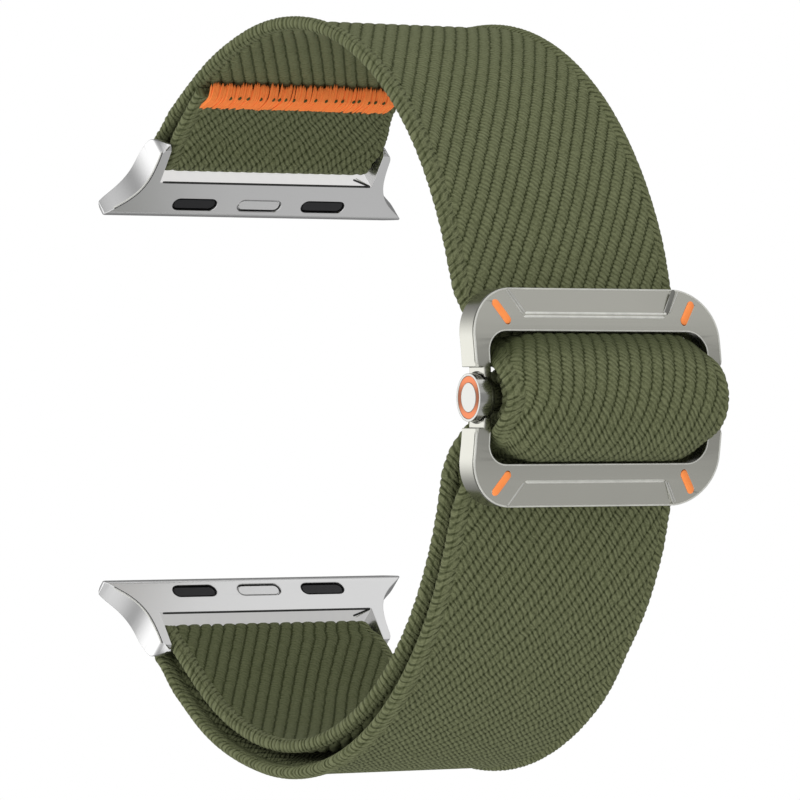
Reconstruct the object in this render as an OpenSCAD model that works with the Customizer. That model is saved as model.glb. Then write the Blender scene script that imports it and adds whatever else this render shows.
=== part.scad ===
// Elastic nylon watch band, 22 mm, with a sliding buckle and two case lugs.
// Frame: the origin is the wrist's centre, X runs across the strap,
// -Y is the buckle's side, +Y is the watch's side and Z is up.

/* [Strap] */
// Width of the elastic strap
strap_width = 22; // [18:0.5:24]
// Thickness of the elastic strap
strap_thickness = 1.3; // [1.1:0.05:1.4]
// Rounding of the strap's woven edges
strap_edge = 0.5; // [0.3:0.05:0.5]
// Radius of the strap's outer face round the wrist
ring_radius = 36.35; // [36:0.05:37]
// Gap between the outer run and the return run under the wrist
layer_gap = 1.2; // [0.8:0.1:1.3]
// How much narrower the strap is where it is drawn in through the buckle
draw_in = 1.2; // [1:0.1:4]
// Extra width of the strap at the top of its arch over the bar
arch_swell = 1.6; // [0:0.1:2]
// Length of the sewn tail inside the upper loop
tail_length = 9.5; // [7:0.5:11]
// Length of the band of orange thread over the tail's raw edge
thread_length = 2.6; // [2:0.1:3]
// Thickness of the thread band
thread_thickness = 0.3; // [0.2:0.05:0.4]
// Length of the doubled strap that is sewn below the buckle's bar
sewn_length = 4.6; // [3.5:0.1:5]

/* [Lugs] */
// Length of the rail that slides into the watch case
rail_length = 33.5; // [31:0.5:35]
// Distance between the two rails, which the watch case fills
case_height = 36.6; // [36:0.1:37.5]
// Distance of the lug pins' line inside the strap's outer face
pin_inset = 0.79; // [0.6:0.01:1]
// Tilt of the lug's wrist face from upright
lug_tilt = 40.7; // [38:0.1:43]
// Length of the lug from rail to arm end
lug_length = 8.6; // [8.4:0.1:8.9]
// Thickness of the rail at its mating face
rail_thickness = 2.06; // [1.9:0.02:2.3]
// Greatest thickness of the lug at its shoulder
crown_thickness = 3.8; // [3.75:0.05:4.2]
// Thickness of the arm where its end starts to slant
arm_end_thickness = 2.75; // [2.7:0.05:3]
// Width of each arm of the lug
arm_width = 0.95; // [0.9:0.05:1.3]
// Distance from the rail's edge to the strap window
window_start = 4.15; // [4:0.05:4.2]
// Side gap between the strap and each arm
arm_gap = 0.95; // [0.7:0.05:1.1]
// Diameter of the lug pin
pin_diameter = 1.3; // [1.2:0.05:1.6]
// Diameter of the pin's tips, which sit in the arms
pin_tip_diameter = 0.8; // [0.7:0.05:0.85]
// Distance of the pin from the rail's edge, along the lug
pin_reach = 6.4; // [6.4:0.05:6.6]
// Depth of the pin below the lug's wrist face
pin_depth = 2.7; // [2.6:0.05:2.75]

/* [Rail slots] */
// Length of each slot in the rail
slot_length = 4.93; // [4.5:0.05:5.2]
// Width of each slot in the rail
slot_width = 1.5; // [1.3:0.05:1.6]
// Distance of the slots from the rail's edge
slot_offset = 1.41; // [1.3:0.01:1.5]
// Distance of each pad slot from the middle slot
slot_spacing = 7.25; // [6.8:0.05:8]
// Depth of the pad slots
slot_depth = 1.5; // [1.3:0.05:1.6]
// Travel of the lock button
button_travel = 0.4; // [0.2:0.05:0.4]
// Height of the lip that keeps the lock button in
button_lip = 0.75; // [0.6:0.05:0.8]
// Thickness of the button's flange
flange_thickness = 0.4; // [0.3:0.05:0.45]
// Thickness of the leaf spring below the button
spring_thickness = 0.12; // [0.1:0.01:0.15]

/* [Buckle frame] */
// How far the buckle frame stands out past each edge of the strap
frame_side = 1.75; // [1.7:0.05:2.2]
// Height of the buckle frame
frame_height = 19.5; // [19:0.1:20]
// Thickness of the buckle frame
frame_thickness = 2.7; // [2.4:0.05:2.8]
// Radius of the frame's curved front face
frame_curve = 27; // [26:0.5:30]
// Distance of the frame's front face in front of the strap's outer face
frame_stand = 4.5; // [4.4:0.05:5]
// Corner radius of the frame's outline
frame_corner = 4.5; // [4:0.1:5]
// Width of the frame's two side bars
side_bar = 1.45; // [1.35:0.05:1.55]
// Height of the frame's upper and lower bars
cross_bar = 3.85; // [3.75:0.05:3.95]
// Corner radius of the frame's opening
opening_corner = 1.9; // [1.6:0.1:2]
// Width of the bevel along the frame's edges
frame_bevel = 0.35; // [0.2:0.05:0.45]
// Rounding of the edge that the strap bends over
lip_radius = 0.6; // [0.4:0.05:0.7]
// Height of each sloping facet
facet_height = 2.2; // [1.9:0.05:2.4]
// Distance of a facet's inner corners from the frame's sides
facet_margin = 5.45; // [5.2:0.05:5.9]
// Spread of a facet's ends towards the frame's edge
facet_spread = 1.4; // [1:0.1:1.6]
// Depth of a facet at the frame's edge
facet_depth = 0.45; // [0.3:0.05:0.6]

/* [Enamel dashes] */
// Length of each orange dash
dash_length = 2.4; // [2:0.1:2.6]
// Width of each orange dash
dash_width = 0.55; // [0.45:0.05:0.65]
// Depth of each orange dash
dash_depth = 0.3; // [0.2:0.05:0.4]
// Distance of each dash from the frame's side
dash_side = 3.05; // [2.95:0.05:3.2]
// Distance of each dash from the frame's upper or lower edge
dash_edge = 2.2; // [2.15:0.05:2.3]
// Lean of each dash from upright
dash_lean = 34; // [30:1:40]

/* [Centre bar] */
// Diameter of the centre bar
bar_diameter = 2.2; // [1.8:0.05:2.2]
// Distance of the bar's axis behind the frame's front face
bar_inset = 1.5; // [1.4:0.05:1.55]
// Diameter of the round hubs on the bar's ends
hub_diameter = 4.3; // [4:0.1:4.5]
// How far the hubs stand out of the frame's sides
hub_proud = 0.1; // [0.05:0.05:0.5]
// Thickness of the eye that carries the bar
eye_thickness = 0.5; // [0.4:0.05:0.5]
// Diameter of the eye
eye_diameter = 3.8; // [3.4:0.1:3.9]
// Height of the gap in the rail's outer side
claw_gap = 5.4; // [5.2:0.1:5.8]
// Outer radius of the orange ring as a share of the hub
ring_outer_share = 0.89; // [0.84:0.01:0.9]
// Inner radius of the orange ring as a share of the hub
ring_inner_share = 0.61; // [0.6:0.01:0.7]
// Depth of the orange ring
ring_depth = 0.3; // [0.2:0.05:0.4]

/* [Clearances] */
// Gap between the strap and the pin or bar it loops round
loop_gap = 0.15; // [0.1:0.01:0.16]
// Gap between the strap's bend and the edge that it bends over
bend_gap = 0.65; // [0.6:0.01:0.7]
// Running clearance of the bar in its eyes
bar_clearance = 0.05; // [0.03:0.01:0.08]
// Gap between the hub and its seat in the rail
hub_gap = 0.15; // [0.12:0.01:0.2]
// Gap round the lock button
button_gap = 0.12; // [0.08:0.01:0.15]
// Gap between two sewn layers
sewn_gap = 0.02; // [0.01:0.01:0.03]
// Clearance of pressed and glued parts
seat_gap = 0.02; // [0.01:0.01:0.03]

/* [Hidden] */
$fn = 64;

olive = "#565c42";
orange = "#ff7d32";
titanium = "#a8a79c";
silver = "#c9c9c9";
black = "#222224";

half_strap = strap_thickness / 2;

// Middle radii of the strap's outer run and return run
run_mid = ring_radius - half_strap;
return_mid = run_mid - strap_thickness - layer_gap;

// The strap's width where it passes the buckle
drawn_width = strap_width - draw_in;

// The upper lug pin's place, as Y and Z, and the rail's place from it
rail_z = case_height / 2;
pin_far = ring_radius - pin_inset;
pin_z = rail_z + pin_reach * cos(lug_tilt) + pin_depth * sin(lug_tilt);
pin_y = sqrt(pow(pin_far, 2) - pow(pin_z, 2));
rail_y = pin_y + pin_reach * sin(lug_tilt) - pin_depth * cos(lug_tilt);
pin_angle = atan2(pin_z, pin_y);
loop_mid = pin_diameter / 2 + loop_gap + half_strap;

// The run leaves the ring on a straight line that touches the lug loop
lug_turn = acos((run_mid - loop_mid) / pin_far);
lug_tangent = pin_angle + lug_turn;
lug_straight = pin_far * sin(lug_turn);
return_turn = acos((return_mid + loop_mid) / pin_far);
return_tangent = pin_angle + return_turn;
return_straight = pin_far * sin(return_turn);

// The tail leans towards the run until its raw edge meets it
tail_lean = 2 * atan((loop_mid - half_strap - 2 * seat_gap) / tail_length);

// The buckle frame's sizes, which follow the strap's
frame_width = strap_width + 2 * frame_side;
opening_width = frame_width - 2 * side_bar;
opening_height = frame_height - 2 * cross_bar;
facet_start = frame_height / 2 - facet_height;
facet_half_width = frame_width / 2 - facet_margin;
dash_x = frame_width / 2 - dash_side;
dash_z = frame_height / 2 - dash_edge;
hub_face = frame_width / 2 + hub_proud;

// The buckle's centre bar and the frame's back face
frame_reach = ring_radius + frame_stand;
bar_y = -(frame_reach - bar_inset);
curve_y = -(frame_reach - frame_curve);
back_curve = frame_curve - frame_thickness;

// The strap bends over the edge of the opening, up to the arch
lip_z = opening_height / 2 + lip_radius;
lip_y = curve_y - sqrt(pow(back_curve + lip_radius, 2) - pow(lip_z, 2));
bend_mid = lip_radius + bend_gap + half_strap;
arch_mid = norm([lip_y - bar_y, lip_z]) - bend_mid;
arch_turn = atan2(lip_z, lip_y - bar_y);
lip_far = norm([lip_y, lip_z]);
buckle_turn = acos((run_mid + bend_mid) / lip_far);
buckle_tangent = atan2(lip_z, lip_y) - buckle_turn;
buckle_straight = lip_far * sin(buckle_turn);

// Rigid runs end here, and the leads beyond stretch as the buckle slides
run_end = 138;

// The doubled strap leaves the bar at this angle below the level
leg_angle = -38;
bar_loop_mid = bar_diameter / 2 + loop_gap + half_strap;
leg_offset = half_strap + sewn_gap;
waist_mid = 2;
waist_reach = sqrt(pow(bar_loop_mid + waist_mid, 2) - pow(leg_offset + waist_mid, 2));
waist_turn = atan2(leg_offset + waist_mid, waist_reach);

// The return run swings out to the doubled strap on a wide bend
swing_mid = 10;
swing_along = let (
    side = swing_mid - leg_offset,
    foot_y = bar_y - side * sin(-leg_angle),
    foot_z = -side * cos(leg_angle),
    level = foot_y * cos(leg_angle) + foot_z * sin(leg_angle),
    rest = pow(foot_y, 2) + pow(foot_z, 2) - pow(return_mid + swing_mid, 2))
    -level - sqrt(pow(level, 2) - rest);
swing_y = bar_y + swing_along * cos(leg_angle) - (swing_mid - leg_offset) * sin(-leg_angle);
swing_z = swing_along * sin(leg_angle) - (swing_mid - leg_offset) * cos(leg_angle);
swing_angle = atan2(-swing_z, -swing_y);
leg_up = 90 + leg_angle;
sewn_bend = (sewn_length - (swing_along - waist_reach)) / (swing_mid - 2 * leg_offset) * 180 / PI;

// Thread bands keep this far from the curved strap below them
thread_clear = 0.06;
thread_bevel = 0.1;

// Lug outline: the rail's mating face, the flare of its ends and the crown of its shoulder
rail_back = -rail_thickness * sin(lug_tilt);
rail_drop = -rail_thickness * cos(lug_tilt);
window_half = strap_width / 2 + arm_gap;
arm_half_width = window_half + arm_width;
flare = rail_length / 2 - arm_half_width;
flare_length = 2.25;
flare_power = 1.3;
rail_end_round = 0.9;
crown_reach = 4.8;
rail_chamfer = 0.35;
rail_chamfer_share = 0.12;
arm_corner = 1.2;
arm_slant = 1.15;
shoulder_lead = 0.3;
shoulder_out = 1.1;
pin_shoulder_gap = 0.1;
pin_hole_depth = 0.6;
pin_end_gap = 0.1;

// Lock button below the rail's wrist face
button_recess = 0.12;
edge_step = 0.12;
flange_top = -button_lip - seat_gap;
flange_bottom = flange_top - flange_thickness;
spring_spare = 0.06;
spring_height = button_travel + spring_thickness + spring_spare;
spring_side_gap = 0.3;
spring_end_gap = 0.5;
chamber_floor = flange_bottom - spring_height - 2 * seat_gap;
chamber_length = slot_length + 0.7;
chamber_width = slot_width + 0.45;
pad_recess = 0.15;

// Buckle frame: the depth that its cutters start from, and the eyes that carry the bar
cut_low = 30;
cut_high = frame_reach + 1;
spare = 0.1;
eye_inner = opening_width / 2 - 0.2;
eye_reach = claw_gap / 2 + 0.5;
hub_inner = eye_inner + eye_thickness + bar_clearance;
bar_reach = hub_face - 0.6;

// Height of the curved front face at a dash and at a facet's inner edge
dash_front = -curve_y + sqrt(pow(frame_curve, 2) - pow(dash_z, 2));
facet_front = -curve_y + sqrt(pow(frame_curve, 2) - pow(facet_start, 2));

// Points along a smooth curve between two ends with two handles
function curve(a, b, c, d, n) = [for (i = [0:n]) let (t = i / n)
    pow(1 - t, 3) * a + 3 * t * pow(1 - t, 2) * b + 3 * t * t * (1 - t) * c + t * t * t * d];

// Half width of the lug at a distance from the rail's edge
function lug_half(t) = let (
    wide = arm_half_width + flare * exp(-pow(max(t, 0) / flare_length, flare_power)),
    behind = max(t / rail_back, 0),
    past = max(t - (lug_length - arm_corner), 0))
    wide - rail_end_round * pow(behind, 2)
        - arm_corner + sqrt(max(pow(arm_corner, 2) - pow(past, 2), 0));

// Rounded cross-section of the strap: across the strap, then through its thickness
function strap_outline(width) = [for (i = [0:11]) let (
    corner = floor(i / 3), turn = corner * 90 + (i % 3) * 45,
    side = (corner == 0 || corner == 3) ? 1 : -1, face = corner < 2 ? 1 : -1)
    [side * (width / 2 - strap_edge) + strap_edge * cos(turn),
        face * (half_strap - strap_edge) + strap_edge * sin(turn)]];

// One place on the strap: Y and Z of its middle, the way its outer face looks, its width
function place(y, z, radius, at, width = strap_width) =
    [y + radius * cos(at), z + radius * sin(at), at, width];

// Strap bent round a line along X; a bend that runs backwards shows its outer face inwards
function arc(y, z, radius, from, to, width = strap_width, swell = 0) = let (
    steps = ceil(abs(to - from) / (radius > 20 ? 3 : 9)), facing = to < from ? 180 : 0)
    [for (i = [0:steps]) let (a = from + (to - from) * i / steps)
        [y + radius * cos(a), z + radius * sin(a), a + facing,
            width + swell * max(0, -cos(a))]];

// Mirrored path for the lower half, walked the same way along the strap
function lower(path) = [for (i = [len(path) - 1:-1:0])
    [path[i][0], -path[i][1], -path[i][2], path[i][3]]];

// Path without its first place, to join it to the one before
function onward(path) = [for (i = [1:len(path) - 1]) path[i]];

// Solid strap along a path
module strap_sweep(path) {
    rings = len(path);
    sides = 12;
    points = [for (p = path) for (s = strap_outline(p[3]))
        [s[0], p[0] + s[1] * cos(p[2]), p[1] + s[1] * sin(p[2])]];
    walls = [for (i = [0:rings - 2], j = [0:sides - 1]) let (
        a = i * sides + j, b = i * sides + (j + 1) % sides)
        each [[a, a + sides, b + sides], [a, b + sides, b]]];
    last = (rings - 1) * sides;
    caps = [for (j = [1:sides - 2]) each [[0, j, j + 1], [last, last + j + 1, last + j]]];
    polyhedron(points, concat(walls, caps), convexity = 6);
}

module below() mirror([0, 0, 1]) children();

// The run from the lug loop to the end of its rigid stretch
run_path = concat([place(pin_y, pin_z, loop_mid, lug_tangent)],
    arc(0, 0, run_mid, lug_tangent, run_end));

// The stretch that gives way as the buckle slides
lead_path = concat(arc(0, 0, run_mid, run_end, buckle_tangent),
    [[lip_y - bend_mid * cos(buckle_tangent), lip_z - bend_mid * sin(buckle_tangent),
        buckle_tangent, drawn_width]]);

// The bend over the edge of the opening
lip_path = arc(lip_y, lip_z, bend_mid, 180 + buckle_tangent, 180 + arch_turn, drawn_width);

module strap_upper_loop() color(olive) {
    start = lug_tangent - 180 - tail_lean;
    tip = place(pin_y, pin_z, loop_mid, start);
    strap_sweep(concat(
        [[tip[0] + tail_length * sin(start), tip[1] - tail_length * cos(start), start,
            strap_width]],
        arc(pin_y, pin_z, loop_mid, start, lug_tangent)));
}

module strap_upper_run() color(olive) strap_sweep(run_path);

module strap_upper_lead() color(olive) strap_sweep(lead_path);

module strap_arch() color(olive) strap_sweep(concat(lip_path,
    onward(arc(bar_y, 0, arch_mid, arch_turn, 360 - arch_turn, drawn_width, arch_swell)),
    onward(lower(lip_path))));

module strap_lower_lead() color(olive) strap_sweep(lower(lead_path));

module strap_lower_run() color(olive) strap_sweep(lower(run_path));

module strap_lower_loop() color(olive) strap_sweep(concat(
    arc(pin_y, -pin_z, loop_mid, -lug_tangent, 180 - return_tangent),
    [[return_mid * cos(return_tangent), -return_mid * sin(return_tangent),
        180 - return_tangent, strap_width]]));

module strap_return_run() color(olive)
    strap_sweep(arc(0, 0, return_mid, -return_tangent, -run_end));

module strap_return_lead() color(olive) strap_sweep(concat(
    arc(0, 0, return_mid, -run_end, swing_angle - 180),
    onward(arc(swing_y, swing_z, swing_mid, swing_angle, leg_up))));

// Doubled strap round the centre bar, sewn to itself below
module strap_bar_loop() color(olive) {
    waist_y = bar_y + waist_reach * cos(leg_angle);
    waist_z = waist_reach * sin(leg_angle);
    side = leg_offset + waist_mid;
    strap_sweep(concat(
        [place(swing_y, swing_z, swing_mid, leg_up, drawn_width)],
        arc(waist_y + side * cos(leg_up), waist_z + side * sin(leg_up), waist_mid,
            270 + leg_angle, 180 + waist_turn + leg_angle, drawn_width),
        onward(arc(bar_y, 0, bar_loop_mid, waist_turn + leg_angle,
            360 - waist_turn + leg_angle, drawn_width)),
        onward(arc(waist_y - side * cos(leg_up), waist_z - side * sin(leg_up), waist_mid,
            180 - waist_turn + leg_angle, leg_up, drawn_width)),
        arc(swing_y, swing_z, swing_mid - 2 * leg_offset, leg_up, leg_up - sewn_bend,
            drawn_width)));
}

// Band of orange thread over the step from the tail's raw edge to the run.
// Its outline is drawn along the run, with distances towards the strap's outer face.
module tail_thread() color(orange) {
    flat = half_strap + loop_mid;
    edge = [tail_length * cos(tail_lean) + flat * sin(tail_lean),
        tail_length * sin(tail_lean) - flat * cos(tail_lean)];
    back = thread_length / 2;
    start = edge - back * [cos(tail_lean), sin(tail_lean)];
    inner = [sin(tail_lean), -cos(tail_lean)];
    run_face = loop_mid - half_strap - seat_gap - thread_clear;
    foot = edge[0] + seat_gap - (edge[1] - run_face) * tan(tail_lean);
    translate([0, pin_y, pin_z]) rotate([lug_tangent + 90, 0, 0]) rotate([90, 0, 90])
        linear_extrude(strap_width - 2 * strap_edge, center = true) mirror([0, 1]) polygon([
            start + seat_gap * inner,
            edge + seat_gap * inner + [seat_gap, 0],
            [foot, run_face],
            [edge[0] + back, run_face],
            [edge[0] + back, run_face - thread_thickness],
            edge + [thread_thickness + thread_bevel, -thread_thickness / 2],
            edge + (seat_gap + thread_thickness) * inner,
            start + (seat_gap + thread_thickness) * inner]);
}

// Band of thread on the wrist side of the doubled strap
module bar_thread() color(olive) translate([0, swing_y, swing_z]) rotate([90, 0, 90])
    rotate([0, 0, leg_up - sewn_bend + 2]) rotate_extrude(angle = sewn_bend - 4, $fn = 180)
        translate([swing_mid + half_strap + seat_gap, -drawn_width / 2 + 2 * strap_edge])
            square([thread_thickness, drawn_width - 4 * strap_edge]);

// Lug frame: x along the rail, y away from it, z towards the wrist
module at_lug() translate([0, rail_y, rail_z]) rotate([lug_tilt + 90, 0, 0]) children();

module lug_side() {
    crown = [crown_reach, -crown_thickness];
    arm_end = [lug_length - arm_slant, -arm_end_thickness];
    nose = [lug_length, -arm_end_thickness / 6];
    polygon(concat(
        [[rail_chamfer, 0], rail_chamfer_share * [rail_back, rail_drop]],
        curve([rail_back, rail_drop], [shoulder_lead, rail_drop - 2 * shoulder_lead],
            crown - [1.3, 0], crown, 10),
        curve(crown, crown + [shoulder_out, 0], arm_end - [0.4, 0.6], arm_end, 8),
        curve(arm_end, arm_end + [0.3, 0.35], nose - [0.15, 0.5], nose, 4),
        [[lug_length + nose[1], 0]]));
}

module lug_front() {
    behind = [for (i = [5:-1:1]) rail_back * i / 5];
    ahead = [for (i = [0:32]) lug_length * (1 - pow(1 - i / 32, 1.6))];
    side = [for (t = concat(behind, ahead)) [lug_half(t), t]];
    polygon(concat(side, [for (i = [len(side) - 1:-1:0]) [-side[i][0], side[i][1]]]));
}

module stadium(length, width) {
    square([length - width, width], center = true);
    for (i = [-1, 1]) translate([i * (length - width) / 2, 0])
        circle(d = width, $fn = 32);
}

// A pocket or plug on the rail, from one height to another
module slot_prism(x, length, width, low, high)
    translate([x, slot_offset, low]) linear_extrude(high - low) stadium(length, width);

module lug_pin_shape(diameter, reach) translate([0, pin_reach, -pin_depth])
    rotate([0, 90, 0]) cylinder(d = diameter, h = 2 * reach, center = true);

module lug_body() difference() {
    intersection() {
        rotate([90, 0, 90]) linear_extrude(rail_length + 1, center = true) lug_side();
        translate([0, 0, -crown_thickness - 1]) linear_extrude(crown_thickness + 2) lug_front();
    }
    translate([-window_half, window_start, -crown_thickness - 1])
        cube([2 * window_half, lug_length, crown_thickness + 2]);
    lug_pin_shape(pin_tip_diameter + 2 * seat_gap, window_half + pin_hole_depth);
    for (x = [-slot_spacing, slot_spacing])
        slot_prism(x, slot_length, slot_width, -slot_depth, 1);
    slot_prism(0, slot_length, slot_width, -button_lip - spare, 1);
    slot_prism(0, chamber_length, chamber_width, chamber_floor, -button_lip);
}

module lug_pin() {
    lug_pin_shape(pin_diameter, window_half - pin_shoulder_gap);
    lug_pin_shape(pin_tip_diameter, window_half + pin_hole_depth - pin_end_gap);
}

module lug_button() {
    slot_prism(0, slot_length - 2 * button_gap, slot_width - 2 * button_gap,
        flange_bottom, -button_recess - edge_step);
    slot_prism(0, slot_length - 3.5 * button_gap, slot_width - 3.5 * button_gap,
        -button_recess - edge_step, -button_recess);
    slot_prism(0, chamber_length - 2 * button_gap, chamber_width - 2 * button_gap,
        flange_bottom, flange_top);
}

// Bowed leaf of spring steel between the button and the chamber's floor
module lug_spring() {
    half = chamber_length / 2 - spring_end_gap;
    rise = spring_height - spring_thickness;
    bow = (pow(half, 2) + pow(rise, 2)) / (2 * rise);
    top = flange_bottom - seat_gap;
    leaf_width = chamber_width - 2 * spring_side_gap;
    translate([0, slot_offset, top - bow - spring_thickness / 2]) intersection() {
        rotate([90, 0, 0]) difference() {
            cylinder(r = bow + spring_thickness / 2, h = leaf_width, center = true, $fn = 180);
            cylinder(r = bow - spring_thickness / 2, h = leaf_width + 1, center = true, $fn = 180);
        }
        translate([-half, -leaf_width, bow - rise - 1])
            cube([2 * half, 2 * leaf_width, rise + 2]);
    }
}

module lug_pad(side) {
    x = side * slot_spacing;
    slot_prism(x, slot_length - 2 * seat_gap, slot_width - 2 * seat_gap,
        -slot_depth + seat_gap, -slot_depth / 2);
    slot_prism(x, slot_length - 2 * button_gap, slot_width - 2 * button_gap,
        -slot_depth / 2, -pad_recess - edge_step);
    slot_prism(x, slot_length - 4 * button_gap, slot_width - 4 * button_gap,
        -pad_recess - edge_step, -pad_recess);
}

module upper_lug() color(silver) at_lug() lug_body();
module upper_pin() color(silver) at_lug() lug_pin();
module upper_button() color(silver) at_lug() lug_button();
module upper_spring() color(silver) at_lug() lug_spring();
module upper_near_pad() color(black) at_lug() lug_pad(-1);
module upper_far_pad() color(black) at_lug() lug_pad(1);

module lower_lug() color(silver) below() at_lug() lug_body();
module lower_pin() color(silver) below() at_lug() lug_pin();
module lower_button() color(silver) below() at_lug() lug_button();
module lower_spring() color(silver) below() at_lug() lug_spring();
module lower_near_pad() color(black) below() at_lug() lug_pad(-1);
module lower_far_pad() color(black) below() at_lug() lug_pad(1);

// Buckle frame: x across, y up, z out of the front, zero at the wrist's centre line
module at_buckle() rotate([90, 0, 0]) children();

// Round-cornered block whose front edge is bevelled inwards or flared outwards
module bevel_block(width, height, corner, low, high, bevel) {
    deep = abs(bevel);
    outline = function (half) [[-half, low], [half, low], [half, high - deep],
        [half - bevel, high], [bevel - half, high], [-half, high - deep]];
    rotate([90, 0, 90]) linear_extrude(width - 2 * corner, center = true)
        polygon(outline(height / 2));
    rotate([90, 0, 0]) linear_extrude(height - 2 * corner, center = true)
        polygon(outline(width / 2));
    for (i = [-1, 1], j = [-1, 1])
        translate([i * (width / 2 - corner), j * (height / 2 - corner), low]) {
            cylinder(r = corner, h = high - deep - low);
            translate([0, 0, high - deep - low])
                cylinder(r1 = corner, r2 = corner - bevel, h = deep);
        }
}

// Cylinder across the buckle, between two distances from the middle
module across(radius, from, to) translate([from, 0, -bar_y]) rotate([0, 90, 0])
    cylinder(r = radius, h = to - from);

// Curved plate of the frame, between its front and back faces
module curved_plate(front, back) translate([0, 0, -curve_y]) rotate([0, 90, 0]) difference() {
    cylinder(r = front, h = frame_width + 2, center = true, $fn = 180);
    cylinder(r = back, h = frame_width + 4, center = true, $fn = 180);
}

// Sloping facet cut into the outer part of a bar of the frame
module facet_cut() {
    slope = asin(facet_start / frame_curve) + atan(facet_depth / facet_height);
    top = facet_height + 1;
    edge = facet_half_width + facet_spread * top / facet_height;
    intersection() {
        translate([0, 0, cut_low]) linear_extrude(cut_high - cut_low) polygon([
            [-facet_half_width, facet_start], [facet_half_width, facet_start],
            [edge, facet_start + top], [-edge, facet_start + top]]);
        translate([-frame_width / 2, facet_start, facet_front]) rotate([-slope, 0, 0])
            cube([frame_width, 2 * top, 2 * top]);
    }
}

// Place of a dash, by its side and its height
module at_dash(i, j) translate([i * dash_x, j * dash_z, dash_front - dash_depth])
    rotate(90 - i * j * dash_lean) children();

module buckle_frame() color(titanium) at_buckle() difference() {
    union() {
        difference() {
            intersection() {
                curved_plate(frame_curve, back_curve);
                bevel_block(frame_width, frame_height, frame_corner, cut_low,
                    frame_reach + 0.01, frame_bevel);
            }
            bevel_block(opening_width, opening_height, opening_corner, cut_low,
                frame_reach + 0.5, -frame_bevel / 2);
            for (i = [0, 1]) mirror([i, 0, 0]) hub_seat();
        }
        for (i = [0, 1]) mirror([i, 0, 0]) bar_eye();
    }
    for (i = [0, 1]) mirror([i, 0, 0]) across(bar_diameter / 2 + bar_clearance,
        eye_inner - 1, eye_inner + eye_thickness + 1);
    for (j = [0, 1]) mirror([0, j, 0]) facet_cut();
    for (i = [-1, 1], j = [-1, 1]) at_dash(i, j)
        linear_extrude(3) stadium(dash_length, dash_width);
}

// Round seat of a hub, open to the side through the claw gap
module hub_seat() {
    across(hub_diameter / 2 + hub_gap, opening_width / 2 - spare, frame_width);
    translate([(frame_width + opening_width) / 4, -claw_gap / 2, cut_low])
        cube([frame_width, claw_gap, cut_high - cut_low]);
}

// Thin eye beside the opening, which joins the rail's halves round the bar
module bar_eye() {
    across(eye_diameter / 2, eye_inner, eye_inner + eye_thickness);
    translate([eye_inner, -eye_reach, -bar_y - eye_diameter / 4])
        cube([eye_thickness, 2 * eye_reach, eye_diameter / 2]);
}

module dash(i, j) color(orange) at_buckle() intersection() {
    at_dash(i, j) translate([0, 0, seat_gap]) linear_extrude(2)
        stadium(dash_length - 2 * seat_gap, dash_width - 2 * seat_gap);
    curved_plate(frame_curve - seat_gap, back_curve);
}

module dash_upper_near() dash(-1, 1);
module dash_upper_far() dash(1, 1);
module dash_lower_near() dash(-1, -1);
module dash_lower_far() dash(1, -1);

module centre_bar() color(titanium) at_buckle()
    across(bar_diameter / 2, -bar_reach, bar_reach);

module hub() color(silver) at_buckle() difference() {
    across(hub_diameter / 2, hub_inner, hub_face);
    across(bar_diameter / 2 + seat_gap / 2, hub_inner - 1, bar_reach + seat_gap);
    difference() {
        across(hub_diameter / 2 * ring_outer_share, hub_face - ring_depth, hub_face + 1);
        across(hub_diameter / 2 * ring_inner_share, hub_face - ring_depth - 1, hub_face + 2);
    }
}

module hub_ring() color(orange) at_buckle() difference() {
    across(hub_diameter / 2 * ring_outer_share - seat_gap / 2,
        hub_face - ring_depth + seat_gap / 2, hub_face - seat_gap);
    across(hub_diameter / 2 * ring_inner_share + seat_gap / 2, hub_face - ring_depth - 1, hub_face + 1);
}

module near_hub() mirror([1, 0, 0]) hub();
module far_hub() hub();
module near_hub_ring() mirror([1, 0, 0]) hub_ring();
module far_hub_ring() hub_ring();

strap_upper_loop();
strap_upper_run();
strap_upper_lead();
strap_arch();
strap_lower_lead();
strap_lower_run();
strap_lower_loop();
strap_return_run();
strap_return_lead();
strap_bar_loop();
tail_thread();
bar_thread();
upper_lug();
upper_pin();
upper_button();
upper_spring();
upper_near_pad();
upper_far_pad();
lower_lug();
lower_pin();
lower_button();
lower_spring();
lower_near_pad();
lower_far_pad();
buckle_frame();
dash_upper_near();
dash_upper_far();
dash_lower_near();
dash_lower_far();
centre_bar();
near_hub();
far_hub();
near_hub_ring();
far_hub_ring();
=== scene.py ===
"""Looks for the elastic watch band: woven strap, stitching, lugs and sliding buckle,
seen as in the photograph."""

import math

import bmesh
import bpy
import numpy as np
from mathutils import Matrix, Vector


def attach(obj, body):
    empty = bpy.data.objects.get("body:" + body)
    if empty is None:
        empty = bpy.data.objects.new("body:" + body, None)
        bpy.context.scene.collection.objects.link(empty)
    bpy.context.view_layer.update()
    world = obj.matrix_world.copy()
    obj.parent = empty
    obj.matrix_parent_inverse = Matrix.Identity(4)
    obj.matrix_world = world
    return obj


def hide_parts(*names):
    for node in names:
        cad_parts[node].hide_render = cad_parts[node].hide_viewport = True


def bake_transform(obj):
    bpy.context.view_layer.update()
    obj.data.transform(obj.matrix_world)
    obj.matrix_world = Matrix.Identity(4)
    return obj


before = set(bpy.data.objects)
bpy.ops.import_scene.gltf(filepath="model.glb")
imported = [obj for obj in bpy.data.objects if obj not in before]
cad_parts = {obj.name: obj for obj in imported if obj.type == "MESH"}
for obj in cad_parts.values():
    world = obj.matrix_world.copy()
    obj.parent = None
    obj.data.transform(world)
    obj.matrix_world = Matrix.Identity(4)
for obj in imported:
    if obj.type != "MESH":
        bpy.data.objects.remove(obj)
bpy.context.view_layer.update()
MM = 0.001


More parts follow.
